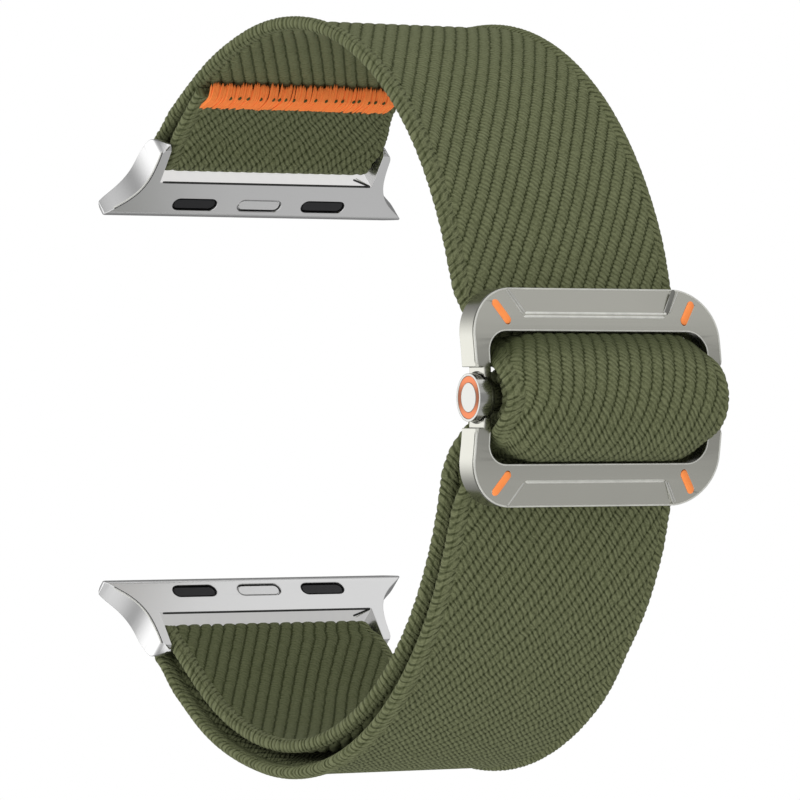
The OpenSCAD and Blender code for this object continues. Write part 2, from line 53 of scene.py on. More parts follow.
def sind(a):
    """Sine of an angle in degrees."""
    return math.sin(math.radians(a))


def cosd(a):
    """Cosine of an angle in degrees."""
    return math.cos(math.radians(a))


def add_object(name, data):
    """New object at the origin, linked to the scene."""
    obj = bpy.data.objects.new(name, data)
    bpy.context.scene.collection.objects.link(obj)
    return obj


# Camera: a long lens, level, turned a little to the band's left side
CAMERA_PLACE = (-232.39, -429.40, -0.22)
VIEW_DIRECTION = (0.4787, 0.8780, 0)
camera_data = bpy.data.cameras.new("camera")
camera_data.sensor_width = 36
camera_data.lens = 227.7
camera_data.clip_start = 0.05
camera = add_object("camera", camera_data)
camera.location = Vector(CAMERA_PLACE) * MM
camera.rotation_euler = Vector(VIEW_DIRECTION).to_track_quat("-Z", "Y").to_euler()
bpy.context.scene.camera = camera
bpy.context.scene.view_settings.view_transform = "Standard"

# Sizes in millimetres and degrees, as in the CAD source.
# The strip: its width, its width where it is drawn in at the bar, and its thickness
WIDTH = 22.0
DRAWN = 20.8
THICK = 1.3
HALF = THICK / 2
# Radii of its middle line on the ring's outer layer and on the return layer inside it
RUN = 36.35 - HALF
RETURN = RUN - THICK - 1.2
# Lengths of the sewn tail and of the sewn end
TAIL = 9.5
SEWN = 4.6
# Room between the strip and the pin or bar that it loops round
PLAY = 0.15
# The upper pin in Y and Z, and the bend of the loop round it
PIN = (25.3745, 24.9128)
LOOP = 0.65 + PLAY + HALF
# The centre bar's Y, and the bend of the loop round it
BAR = -39.35
BAR_LOOP = 1.1 + PLAY + HALF
# The buckle's frame: Y of its curve's centre, and the radii of its front and its back
CURVE = -13.85
FRONT_RADIUS = 27.0
BACK = FRONT_RADIUS - 2.7
# Half width, half height and corner radius of the frame's outline, inside its bevel,
# and of its opening
FRAME_EDGE = (12.75, 9.75, 4.43)
OPENING_EDGE = (11.3, 5.9, 1.9)
# Height at which the fine lines along the frame's edges end, clear of the hubs' seats
LINE_END = 2.95
# The frame's sloping facets: height and half width where they start, how far they fall
# and how far they widen for each millimetre further out
FACET_START = 7.55
FACET_HALF = 7.3
FACET_FALL = 0.527
FACET_SPREAD = 0.636
# Rounding of the opening's edges, and the bend of the strip round them
LIP_RADIUS = 0.6
LIP_BEND = LIP_RADIUS + 0.65 + HALF
# The doubled end below the bar: its slope, half the distance between the middles of its
# layers, the bends that bring them together and the bend on to the return layer
LEG = -38.0
SIDE = HALF + 0.02
WAIST = 2.0
SWING = 10.0
# The lugs: slope, the pin's distance from the rail's edge and below the mating face,
# start of the strap's window, and the outline's half widths, flare length and power
LUG_TILT = 40.7
PIN_REACH = 6.4
PIN_DEPTH = 2.7
WINDOW = 4.15
LUG_ARM = 12.9
RAIL_HALF = 16.75
FLARE_LENGTH = 2.25
FLARE_POWER = 1.3
LUGS = (("upper_lug", 1), ("lower_lug", -1))

# Where the strip meets the pins' loops, as angles about the ring's centre
pin_far = math.hypot(*PIN)
pin_angle = math.degrees(math.atan2(PIN[1], PIN[0]))
lug_tangent = pin_angle + math.degrees(math.acos((RUN - LOOP) / pin_far))
return_tangent = pin_angle + math.degrees(math.acos((RETURN + LOOP) / pin_far))
tail_lean = 2 * math.degrees(math.atan((LOOP - HALF - 0.04) / TAIL))

# Where it bends over the edges of the buckle's opening and arches over the bar
lip_z = OPENING_EDGE[1] + LIP_RADIUS
lip_y = CURVE - math.sqrt((BACK + LIP_RADIUS) ** 2 - lip_z**2)
arch_mid = math.hypot(lip_y - BAR, lip_z) - LIP_BEND
arch_turn = math.degrees(math.atan2(lip_z, lip_y - BAR))
lip_far = math.hypot(lip_y, lip_z)
lip_angle = math.degrees(math.atan2(lip_z, lip_y))
buckle_tangent = lip_angle - math.degrees(math.acos((RUN + LIP_BEND) / lip_far))

# Where the return layer swings round to the bar and ends doubled
leg_up = 90 + LEG
waist_reach = math.sqrt((BAR_LOOP + WAIST) ** 2 - (SIDE + WAIST) ** 2)
waist_turn = math.degrees(math.atan2(SIDE + WAIST, waist_reach))
waist = np.array([BAR + waist_reach * cosd(LEG), waist_reach * sind(LEG)])
waist_off = (SIDE + WAIST) * np.array([cosd(leg_up), sind(leg_up)])
waist_before, waist_after = waist + waist_off, waist - waist_off
foot = (BAR - (SWING - SIDE) * sind(-LEG), -(SWING - SIDE) * cosd(LEG))
level = foot[0] * cosd(LEG) + foot[1] * sind(LEG)
swing_square = level**2 - (foot[0] ** 2 + foot[1] ** 2 - (RETURN + SWING) ** 2)
swing_along = -level - math.sqrt(swing_square)
swing = (foot[0] + swing_along * cosd(LEG), foot[1] + swing_along * sind(LEG))
swing_angle = math.degrees(math.atan2(-swing[1], -swing[0]))
sewn_bend = math.degrees((SEWN - (swing_along - waist_reach)) / (SWING - 2 * SIDE))

# The strip's bends in order, each with its name, its centre in Y and Z, its radius and
# the angles at which it starts and ends; straight stretches join them
BENDS = [
    ("loop", *PIN, LOOP, lug_tangent - 180 - tail_lean, lug_tangent),
    ("run", 0, 0, RUN, lug_tangent, buckle_tangent),
    ("lip", lip_y, lip_z, LIP_BEND, 180 + buckle_tangent, 180 + arch_turn),
    ("arch", BAR, 0, arch_mid, arch_turn, 360 - arch_turn),
    ("low_lip", lip_y, -lip_z, LIP_BEND, 180 - arch_turn, 180 - buckle_tangent),
    ("low_run", 0, 0, RUN, 360 - buckle_tangent, 360 - lug_tangent),
    ("low_loop", PIN[0], -PIN[1], LOOP, -lug_tangent, 180 - return_tangent),
    ("return", 0, 0, RETURN, -return_tangent, swing_angle - 180),
    ("swing", *swing, SWING, swing_angle, leg_up),
    ("waist", *waist_before, WAIST, 270 + LEG, 180 + waist_turn + LEG),
    ("bar", BAR, 0, BAR_LOOP, waist_turn + LEG, 360 - waist_turn + LEG),
    ("waist_back", *waist_after, WAIST, 180 - waist_turn + LEG, leg_up),
    ("sewn", *swing, SWING - 2 * SIDE, leg_up, leg_up - sewn_bend),
]


def strap_route(step=0.05):
    """Middle line of the strip at short steps: length along it, Y, Z and the direction
    that its outer face looks in. A straight stretch leads to each bend, an arc about
    its centre: centre plus radius times (cos a, sin a). A bend that runs backwards shows
    its outer face towards its centre. Also gives where each bend starts and ends."""
    start = BENDS[0][4]
    tip_y = PIN[0] + LOOP * cosd(start) + TAIL * sind(start)
    tip_z = PIN[1] + LOOP * sind(start) - TAIL * cosd(start)
    rows = [np.array([[tip_y, tip_z, start]])]
    count = 1
    spans = {}
    for name, cy, cz, radius, a0, a1 in BENDS:
        turn = 180 if a1 < a0 else 0
        parts = max(2, math.ceil(radius * abs(math.radians(a1 - a0)) / step))
        a = np.linspace(a0, a1, parts + 1)
        bend_y = cy + radius * np.cos(np.radians(a))
        bend_z = cz + radius * np.sin(np.radians(a))
        last = rows[-1][-1, :2]
        gap = np.array([bend_y[0], bend_z[0]]) - last
        legs = max(1, math.ceil(math.hypot(*gap) / step))
        straight = last + gap * np.arange(1, legs)[:, None] / legs
        rows.append(np.column_stack([straight, np.full(legs - 1, a0 + turn)]))
        rows.append(np.column_stack([bend_y, bend_z, a + turn]))
        first = count + legs - 1
        spans[name] = (first, first + parts)
        count += legs + parts
    y, z, look = np.concatenate(rows).T
    moved = np.hypot(np.diff(y, prepend=y[0]), np.diff(z, prepend=z[0]))
    lengths = np.cumsum(moved)
    marks = {name: (lengths[i], lengths[j]) for name, (i, j) in spans.items()}
    keep = moved > 1e-7
    keep[0] = True
    return lengths[keep], y[keep], z[keep], np.unwrap(look, period=360)[keep], marks


ROUTE = strap_route()
MARKS = ROUTE[4]


def smooth(x, low, high):
    """From 0 to 1 between low and high: t^2 (3 - 2t)."""
    t = np.clip((x - low) / (high - low), 0, 1)
    return t * t * (3 - 2 * t)


def stretch(x, a, b, c, d):
    """1 from b to c, rising smoothly from 0 at a and falling back to 0 at d."""
    return smooth(x, a, b) * (1 - smooth(x, c, d))


def arch_front(s):
    """How squarely the arch faces forward at length s: 1 at its middle, 0 on its flanks."""
    a0, a1 = MARKS["arch"]
    turn = arch_turn + (360 - 2 * arch_turn) * np.clip((s - a0) / (a1 - a0), 0, 1)
    return np.clip(-np.cos(np.radians(turn)), 0, 1)


def arch_flank(s):
    """Where the strip passes between the buckle's bars: 1 there and 0 elsewhere."""
    b0, b1 = MARKS["arch"]
    beside = stretch(s, b0 - 2, b0 + 1, b1 - 1, b1 + 2)
    return (1 - arch_front(s) ** 2) ** 2 * beside


def slack(s):
    """Outward bulge of the run beside each lug, where the doubled strip springs out.
    The tail lies under the run and follows it, so its bulge has the other sign. The
    loops hang out a little, and the arch's flanks swell towards the buckle's bars."""
    (a0, a1), low = MARKS["loop"], MARKS["low_loop"][0]
    apart = np.where(s < a0, a0 - s, s - a1)
    upper = 0.45 * stretch(apart, 0, 3.5, 5, 20)
    lower = 0.65 * stretch(low - s, 0, 5, 8, 24)
    a2, a3 = MARKS["low_loop"]
    hang = stretch(s, a0 - 1, a0 + 1, a1 - 1, a1 + 1)
    hang = hang + stretch(s, a2 - 1, a2 + 1, a3 - 1, a3 + 1)
    return np.where(s < a0, -upper, upper) + lower + 0.1 * hang + 0.34 * arch_flank(s)


def widths(s):
    """Half widths of the strip on its near and its far side. It spreads a little on the
    runs, more beside the lugs, narrows through the buckle and is drawn in at the bar."""
    drawn = smooth(s, MARKS["swing"][1] - 4, MARKS["swing"][1])
    half = (WIDTH - (WIDTH - DRAWN) * drawn) / 2
    into, out_of, home = MARKS["lip"][0], MARKS["low_lip"][1], MARKS["return"][1]
    buckled = stretch(s, into - 4.5, into - 1, out_of + 1, out_of + 4.5)
    drawn_far = stretch(s, into - 9, into - 3, out_of + 3, out_of + 9)
    near = half + 0.7 * (1 - buckled) * (1 - smooth(s, home, home + 6))
    far = half + 0.25 * (1 - drawn_far) * (1 - smooth(s, home - 10, home))
    for a0, a1 in (MARKS["loop"], MARKS["low_loop"]):
        far = far + 0.4 * stretch(s, a0 - 8, a0 - 1, a1 + 1, a1 + 8)
    a0 = MARKS["loop"][0]
    far = far + 0.65 * stretch(s, a0 - 8, a0 - 3, a0 - 2.2, a0 - 0.3)
    a1 = MARKS["low_loop"][1]
    far = far + 0.7 * stretch(s, a1 + 0.3, a1 + 2.2, a1 + 6, a1 + 13)
    l0, l1 = MARKS["low_run"]
    far = far + 0.2 * stretch(s, l0 + 11, l0 + 19, l1 - 27, l1 - 18)
    b0, b1 = MARKS["arch"]
    lips = stretch(s, into - 2, into, b0 - 1.6, b0 - 0.4)
    lips = lips + stretch(s, b1 + 0.4, b1 + 1.6, out_of, out_of + 2)
    front = arch_front(s)
    return near + 4.7 * front**3 * (1 - front), far + 0.25 * front + 0.22 * lips


def route_at(s):
    """Y, Z, facing angle in radians and the two half widths at lengths s along the strip."""
    look = np.radians(np.interp(s, ROUTE[0], ROUTE[3]))
    y = np.interp(s, ROUTE[0], ROUTE[1]) + slack(s) * np.cos(look)
    z = np.interp(s, ROUTE[0], ROUTE[2]) + slack(s) * np.sin(look)
    near, far = widths(s)
    return y, z, look, near, far


# The weave: cords lie slantwise across the strip, and short floats cross each cord
CORD_PITCH = 1.2
CORD_SLANT = 0.52
FLOAT_PITCH = 0.865
FLOAT_STEP = 1.10
# The edge cords' stitches and widths, at the near (-1) and the far (1) edge
STITCH_PITCH = {-1: 0.78, 1: 0.72}
SELVAGE = {-1: 1.3, 1: 0.85}


def cord_place(x, s):
    """Number of cords counted across the strip: whole numbers are the grooves. They
    slant less and stand closer through the buckle, and two slow waves keep them from
    being ruled lines."""
    stray = 0.018 * np.sin(4.1 * s + 1.3 * x) + 0.015 * np.sin(2.3 * s - 2.1 * x + 1.0)
    a0, a1 = MARKS["arch"]
    eased = 0.2 * (np.clip(s, a0 - 2, a1 + 2) - a0)
    closer = 1 + 0.06 * stretch(s, a0 - 3, a0 + 3, a1 - 3, a1 + 3)
    return (x * closer + CORD_SLANT * s - eased) / CORD_PITCH + stray


def float_place(x, s):
    """Number of float pairs counted along the strip, with a slight wander."""
    stray = 0.06 * np.sin(1.1 * s + 0.9 * x) + 0.05 * np.sin(2.3 * s - 1.7 * x + 2.0)
    return s / FLOAT_PITCH + stray


def boldness(s):
    """How deep the grooves between the cords are: full on the upper run and the inner
    faces, slighter on the tail, through the buckle and below it, where the strip is flatter."""
    a0, a1 = MARKS["arch"]
    low = 0.1 * smooth(s, a0 - 1, a0 + 4) + 0.48 * smooth(s, a0 + 8, a0 + 12)
    low = low - 0.13 * smooth(s, a1 + 1, a1 + 5)
    back = smooth(s, MARKS["low_loop"][0] - 6, MARKS["low_loop"][1])
    tail = 0.42 * (1 - smooth(s, MARKS["loop"][0] - 1, MARKS["loop"][1]))
    return 1 - low * (1 - back) - tail


def to_space(x, y, z, look, out):
    """Point at x across the strip and out from its middle."""
    return np.stack(
        [x, y + out * np.cos(look), z + out * np.sin(look)], axis=-1
    )


def mesh_object(name, points, quads, caps):
    """Smooth object from an array of points in millimetres, rows of four corners, and
    rows of corners for the faces that shut its ends. Gives it and all its corners."""
    corners = np.concatenate([quads.ravel(), caps.ravel()])
    cap_starts = quads.size + np.arange(len(caps)) * caps.shape[1]
    starts = np.concatenate([np.arange(len(quads)) * 4, cap_starts])
    mesh = bpy.data.meshes.new(name)
    mesh.vertices.add(points.size // 3)
    mesh.vertices.foreach_set("co", (points * MM).ravel().astype(np.float32))
    mesh.loops.add(len(corners))
    mesh.loops.foreach_set("vertex_index", corners.astype(np.int32))
    mesh.polygons.add(len(starts))
    mesh.polygons.foreach_set("loop_start", starts.astype(np.int32))
    mesh.update(calc_edges=True)
    mesh.polygons.foreach_set("use_smooth", np.ones(len(starts), bool))
    return add_object(name, mesh), corners


def grid_mesh(name, points, weave, place, bold):
    """Closed tube from a grid of points, rings by places round the ring, with its ends
    shut. UV map weave holds two pattern counts, UV map place holds x and length in
    centimetres, and the point attribute bold holds the depth of the grooves and, above 1,
    the strength of painted shade."""
    rings, around = points.shape[:2]
    i, j = np.meshgrid(np.arange(rings - 1), np.arange(around), indexing="ij")
    a = i * around + j
    b = i * around + (j + 1) % around
    quads = np.stack([a, b, b + around, a + around], axis=-1).reshape(-1, 4)
    first_ring = np.arange(around)
    caps = np.stack([first_ring[::-1], first_ring + (rings - 1) * around])
    obj, corners = mesh_object(name, points, quads, caps)
    mesh = obj.data
    for layer_name, uv in (("weave", weave), ("place", place)):
        layer = mesh.uv_layers.new(name=layer_name)
        layer.data.foreach_set("uv", uv.reshape(-1, 2)[corners].ravel().astype(np.float32))
    attribute = mesh.attributes.new("bold", "FLOAT", "POINT")
    attribute.data.foreach_set("value", bold.ravel().astype(np.float32))
    mesh.polygons[-1].use_smooth = False
    mesh.polygons[-2].use_smooth = False
    return obj


def pair(u, v):
    """Two coordinates side by side, spread over a common grid."""
    u, v = np.broadcast_arrays(u, v)
    return np.stack([u, v], -1)


def near_edge(s):
    """How far the near edge spreads and curls in towards the bar where the strap arches
    over it, from 0 to 1."""
    a0, a1 = MARKS["arch"]
    return stretch(s, a0 - 0.6, a0 + 1.2, a1 - 1.2, a1 + 0.6)


def cupping(x, s):
    """Inward sag, in millimetres, of the strip between its edges on the two runs: both
    edges stand proud on the upper one, and chiefly the near edge on the lower one."""
    (u0, u1), (l0, l1) = MARKS["run"], MARKS["low_run"]
    upper = stretch(s, u0 + 10, u0 + 22, u1 - 14, u1 - 5)
    lower = stretch(s, l0 + 5, l0 + 14, l1 - 14, l1 - 4)
    near, far = smooth(-x, 7.5, 11), smooth(x, 9.3, 11)
    spread = far * (0.4 + 0.6 * smooth(s, l0 + 11, l0 + 19))
    return 0.42 * (upper * (1 - np.maximum(near, far)) + lower * (1 - np.maximum(near, spread)))


def inward(x, s):
    """Whole inward shift at x across the strip: the sag, the near edge's curl, the
    slimmer far end of the arch, 2.5 f (1 - f) with f how squarely it faces forward, and
    the room both edges leave for the rounded corners of the buckle's opening."""
    front = arch_front(s)
    slim = 2.5 * front * (1 - front) * smooth(x, 6.5, 11.0)
    corner = 0.62 * smooth(np.abs(x), 8.2, 10.8) + 0.42 * smooth(np.abs(x), 10.1, 11.0)
    slim = slim + corner * arch_flank(s)
    return cupping(x, s) + 0.95 * near_edge(s) * smooth(-x, 6.2, 11.0) + slim


def weave_slab(name, s0, s1, step=0.3, across=0.15):
    """Woven middle of the strip between two lengths: two corded faces and hidden sides.
    Each face stands out by a rounded cord profile, 1 - |2t|^4 for t from -0.5 to 0.5
    across a cord, times the local boldness, greater on the inner face and the return."""
    s = np.linspace(s0, s1, max(3, int((s1 - s0) / step) + 1))[:, None]
    y, z, look, near, far = route_at(s)
    n = int((WIDTH - SELVAGE[-1] - SELVAGE[1]) / across)
    v = np.linspace(-1, 1, n)
    place = np.concatenate([v, [1.0] * 3, v[::-1], [-1.0] * 3])[None, :]
    turn = np.array([0.4, 0.0, -0.4])
    face = np.concatenate([np.ones(n), turn, -np.ones(n), -turn])[None, :]
    push = np.concatenate([np.zeros(n), [0.3] * 3, np.zeros(n), [-0.3] * 3])[None, :]
    edge = np.where(place < 0, SELVAGE[-1], SELVAGE[1])
    x = place * (np.where(place < 0, near, far) - edge) + push
    nominal = place * (WIDTH / 2 - edge) + push
    home = smooth(s, MARKS["low_loop"][1] - 3, MARKS["low_loop"][1])
    # bold above 1, on the inner faces and the return, also sets painted shade in the yarn
    bold = boldness(s) * np.where(face < 0, 1.35, 1.0 + 0.7 * home)
    p = cord_place(nominal, s)
    t = p - np.floor(p) - 0.5
    profile = 1 - np.abs(2 * t) ** 4
    surface = HALF + 0.04 - 0.21 * np.minimum(bold, 1.35) * (1 - profile)
    tuck = 0.16 * smooth(np.abs(place), 0.94, 1.0)
    out = face * np.where(np.abs(face) == 1, surface - tuck, HALF - 0.2)
    out = out - inward(nominal, s)
    points = to_space(x, y, z, look, out)
    weave = pair(p, float_place(nominal, s))
    return grid_mesh(name, points, weave, pair(nominal, s) / 10, bold + 0 * x)


def selvage_cord(name, s0, s1, hand, step=0.1):
    """Woven edge of the strip: a flattened cord with slanted stitches, which stand out
    as low pillows, |sin(pi f)|^0.6 with f counting the stitches. UV map weave holds the
    distance out from the cord's seam with the weave, and f."""
    s = np.linspace(s0, s1, max(3, int((s1 - s0) / step) + 1))[:, None]
    y, z, look, near, far = route_at(s)
    around = 24
    turn = np.linspace(0, 2 * math.pi, around, endpoint=False)[None, :]
    wide = SELVAGE[hand] / 2 + 0.2
    c, d = np.cos(turn), np.sin(turn)
    local = wide * np.sign(c) * np.abs(c) ** 0.8
    high = (HALF - 0.02) * np.sign(d) * np.abs(d) ** 0.75
    centre = (far if hand > 0 else near) - wide
    stray = 0.12 * np.sin(2.1 * s + 0.4 + hand) + 0.09 * np.sin(5.3 * s)
    f = (s - local / 1.15) / STITCH_PITCH[hand] + stray
    lift = 0.13 * (np.abs(np.sin(math.pi * f)) ** 0.6 - 0.75)
    x = centre + local + lift * c
    out = high + lift * d - 0.10 * smooth(local, 0.2, wide) * np.sign(d) - inward(hand * x, s)
    points = to_space(hand * x, y, z, look, out)
    weave, place = pair(SELVAGE[hand] - wide + local, f), pair(local, s) / 10
    if hand < 0:
        points, weave, place = points[:, ::-1], weave[:, ::-1], place[:, ::-1]
    return grid_mesh(name, points, weave, place, boldness(s) + 0 * x)


def new_material(name):
    """Material, its arithmetic and its shader."""
    material = bpy.data.materials.new(name)
    material.use_nodes = True
    nodes = material.node_tree.nodes
    return material, Maths(nodes, material.node_tree.links), nodes["Principled BSDF"]


class Maths:
    """Short names for a shader's nodes and their arithmetic."""

    def __init__(self, nodes, links):
        self.nodes, self.links = nodes, links

    def fill(self, node, values):
        """Give inputs of a node, by name or number, a number, a colour or a link."""
        for key, value in values.items():
            if isinstance(value, (int, float)):
                node.inputs[key].default_value = value
            elif isinstance(value, tuple):
                node.inputs[key].default_value = (*value, 1)
            else:
                self.links.new(value, node.inputs[key])

    def node(self, kind, values=None):
        """New node with its inputs filled."""
        node = self.nodes.new("ShaderNode" + kind)
        self.fill(node, values or {})
        return node

    def __call__(self, kind, *values):
        """Result of one step of arithmetic."""
        node = self.node("Math", dict(enumerate(values)))
        node.operation = kind
        return node.outputs[0]

    def add(self, first, *more):
        """Sum of all the values."""
        for value in more:
            first = self("ADD", first, value)
        return first

    def times(self, first, *more):
        """Product of all the values."""
        for value in more:
            first = self("MULTIPLY", first, value)
        return first

    def less(self, a, b):
        """The first value less the second."""
        return self("SUBTRACT", a, b)

    def rest(self, a):
        """What the value leaves of 1."""
        return self("SUBTRACT", 1.0, a)

    def mix(self, factor, a, b):
        """The first colour at factor 0 and the second at 1."""
        node = self.node("Mix")
        node.data_type = "RGBA"
        self.fill(node, {0: factor, 6: a, 7: b})
        return node.outputs[2]

    def ramp(self, value, low, high):
        """From 0 to 1 between low and high, as smooth does."""
        node = self.node("MapRange", {0: value, 1: low, 2: high})
        node.interpolation_type = "SMOOTHSTEP"
        return node.outputs[0]

    def parts(self, vector):
        """The three parts of a vector."""
        return self.node("SeparateXYZ", {0: vector}).outputs

    def plane(self, a, b):
        """The vector a, b, 0."""
        return self.node("CombineXYZ", {0: a, 1: b}).outputs[0]

    def lot(self, a, b):
        """A random number from 0 to 1 for each cell between whole numbers of a and b."""
        node = self.node("TexWhiteNoise")
        node.noise_dimensions = "2D"
        self.fill(node, {"Vector": self.plane(self("FLOOR", a), self("FLOOR", b))})
        return node.outputs["Value"]

    def noise(self, vector, scale, detail=2.0, rough=0.5):
        """Cloudy noise from 0 to 1."""
        values = {"Vector": vector, "Scale": scale, "Detail": detail, "Roughness": rough}
        return self.node("TexNoise", values).outputs[0]


OLIVE = (0.163, 0.178, 0.088)
OLIVE_LIGHT = (0.222, 0.241, 0.128)
OLIVE_DARK = (0.036, 0.045, 0.012)


def fabric_finish(m, shader, colour):
    """Dull thread with a faint sheen."""
    m.fill(shader, {"Base Color": colour, "Roughness": 0.85, "Specular IOR Level": 0.15})
    m.fill(shader, {"Sheen Weight": 0.06, "Sheen Roughness": 0.6})
    m.fill(shader, {"Sheen Tint": (0.62, 0.68, 0.45)})


def relief(m, shader, height, strength, distance, beneath=None):
    """Fine relief in the shading, its depth in millimetres."""
    bump = m.node("Bump", {"Strength": strength, "Distance": distance * MM, "Height": height})
    if beneath:
        m.fill(bump, {"Normal": beneath})
    m.fill(shader, {"Normal": bump.outputs[0]})


def uv_parts(m, name):
    """A UV map and its two coordinates."""
    uv = m.node("UVMap")
    uv.uv_map = name
    return uv.outputs[0], *m.parts(uv.outputs[0])[:2]


def ridge(m, value):
    """1 where the value is a whole number, falling to 0 half way between."""
    return m("ABSOLUTE", m.less(m.times(m("FRACT", value), 2), 1))


def wandering(m, place, reach):
    """Slow stray of the pattern to either side."""
    return m.times(m.less(m.noise(place, 11, 2), 0.5), reach)


def yarn_colour(m, place, strands):
    """Olive yarn, mottled finely by its fibres and faintly in broad patches."""
    patch = m.ramp(m.noise(place, 2.2, 2), 0.3, 0.7)
    mottle = m.ramp(m.noise(place, 17, 2), 0.3, 0.7)
    fuzz = m.add(m.times(m.noise(place, 42, 3, 0.7), 0.6), m.times(strands, 0.4))
    speck = m.ramp(m.noise(place, 80, 1), 0.45, 0.62)
    base = m.mix(m.add(m.times(patch, 0.2), m.times(mottle, 0.25)), OLIVE, OLIVE_LIGHT)
    base = m.mix(m.times(speck, 0.5), base, OLIVE_LIGHT)
    shaded = m.mix(0.58, base, OLIVE_DARK)
    return m.mix(m.ramp(fuzz, 0.40, 0.56), shaded, base), fuzz


def painted_flank_shadow(m, along):
    """Painted shadow of the buckle's bars on the arch's flanks between them, from the length
    along the strip in centimetres."""
    a0, a1 = (mark / 10 for mark in MARKS["arch"])
    top_end = m.rest(m.ramp(along, a0 + 0.2, a0 + 0.62))
    low_end = m.rest(m.ramp(along, a1 + 0.05, a1 + 0.11))
    top = m.times(m.ramp(along, a0 - 0.10, a0 - 0.04), top_end)
    low = m.times(m.ramp(along, a1 - 0.36, a1 - 0.1), low_end)
    return m.add(m.times(top, 0.85), m.times(low, 0.62))


def weave_material():
    """Olive twill. UV map weave counts cords (p) and floats (q) along the strip. Floats
    slant across each cord, two to a count, with painted shade towards their seams and
    towards the grooves; where groove and seam meet the painted shade makes a dark dot."""
    material, m, shader = new_material("strap_weave")
    _, p, q = uv_parts(m, "weave")
    place, _, along = uv_parts(m, "place")
    attribute = m.node("Attribute")
    attribute.attribute_name = "bold"
    bold = attribute.outputs["Fac"]

    # t is 1 in the grooves between cords, and u is 1 in the seams between floats
    t = ridge(m, p)
    lean = m.times(m.ramp(bold, 0.5, 1.0), 0.45)
    f = m.times(m.less(q, m.times(p, FLOAT_STEP)), 2)
    f = m.add(f, wandering(m, place, 0.9), m.times(m("FRACT", p), lean))
    u = ridge(m, f)
    lot = m.lot(p, f)

    # Painted seam shade is fainter where the cords are bold, and differs from float to float
    loose = m.rest(m("MINIMUM", bold, 1.0))
    weight = m.add(m.times(m("POWER", t, 1.5), 0.5), 0.36, m.times(loose, 0.55))
    weight = m.times(weight, m.rest(m.times(m.ramp(bold, 1.05, 1.35), 0.5)))
    seam = m.times(m.ramp(u, 0.30, 1.0), weight, m.add(0.55, m.times(lot, 0.6)))
    groove = m.ramp(t, 0.74, 1.0)
    dot = m.times(m.ramp(t, 0.60, 0.92), m.ramp(u, 0.30, 1.0), m.add(0.45, m.times(lot, 0.75)))

    # Painted highlight lightens the yarn on the floats' crowns; painted shade dims inner faces
    strands = m.noise(m.plane(m.times(p, 1.3), m.times(f, 2.7)), 1.0, 2)
    yarn, fuzz = yarn_colour(m, place, strands)
    painted_crown_highlight = m.times(m.rest(u), m.rest(t))
    yarn = m.mix(m.times(m.add(painted_crown_highlight, lot), 0.28), yarn, OLIVE_LIGHT)
    # Painted shade on the inner faces and the return, and painted shadow on the arch's flanks
    painted_inner_shade = m.add(m.times(m.ramp(bold, 1.15, 1.35), 0.12), m.times(m.ramp(bold, 1.4, 1.7), 0.28))
    yarn = m.mix(m("MAXIMUM", painted_inner_shade, painted_flank_shadow(m, along)), yarn, OLIVE_DARK)
    depth = m.add(0.25, m.times(bold, 0.22))
    # Painted shade in the grooves, at the dots and along the seams
    painted_shade = m.add(m.times(groove, depth), m.times(dot, 0.5), m.times(seam, 0.72))
    fabric_finish(m, shader, m.mix(m("MINIMUM", painted_shade, 0.97), yarn, OLIVE_DARK))
    height = m.less(m.less(m.times(fuzz, 0.6), m.times(seam, 1.1)), m.times(groove, 0.6))
    relief(m, shader, height, 0.8, 0.16)
    return material


def selvage_material():
    """Olive edge cord. UV map weave holds the distance out from the weave and the stitch
    count; painted shade in the seams between stitches is darkest by the weave and the rim."""
    material, m, shader = new_material("strap_selvage")
    _, out, f = uv_parts(m, "weave")
    place, _, along = uv_parts(m, "place")
    f = m.add(f, wandering(m, place, 0.5))
    u = ridge(m, f)
    fine = ridge(m, m.times(f, 2))
    lot = m.lot(out, f)

    # Strength of the painted seam shade: from the weave outwards, and from stitch to stitch
    inner = m.rest(m.ramp(out, 0.22, 0.42))
    outer = m.ramp(out, 0.4, 0.85)
    rim = m.less(m.ramp(out, 0.84, 0.93), m.ramp(out, 0.96, 1.05))
    seam = m.ramp(u, 0.40, 0.92)
    weight = m.add(0.08, m.times(outer, 0.5), m.times(inner, 0.5))
    weight = m.times(weight, m.add(0.6, m.times(lot, 0.6)))

    strands = m.noise(m.plane(m.times(out, 1.5), m.times(f, 2.7)), 1.0, 2)
    yarn, fuzz = yarn_colour(m, place, strands)
    # Painted highlight on the stitches' crowns, with a random tone from stitch to stitch
    yarn = m.mix(m.times(m.add(m.rest(u), lot), 0.25), yarn, OLIVE_LIGHT)
    yarn = m.mix(painted_flank_shadow(m, along), yarn, OLIVE_DARK)
    # Painted shade in the seams, along the fine thread lines and at the rim
    threads = m.times(m.ramp(fine, 0.6, 1.0), 0.10)
    painted_shade = m.add(m.times(seam, weight), threads, m.times(rim, 0.3))
    fabric_finish(m, shader, m.mix(m("MINIMUM", painted_shade, 0.95), yarn, OLIVE_DARK))
    height = m.less(m.times(fuzz, 0.6), m.times(seam, weight, 1.4))
    height = m.less(height, m.times(m.ramp(fine, 0.5, 1.0), 0.3))
    relief(m, shader, height, 0.8, 0.14)
    return material


WEAVE = weave_material()
EDGE = selvage_material()


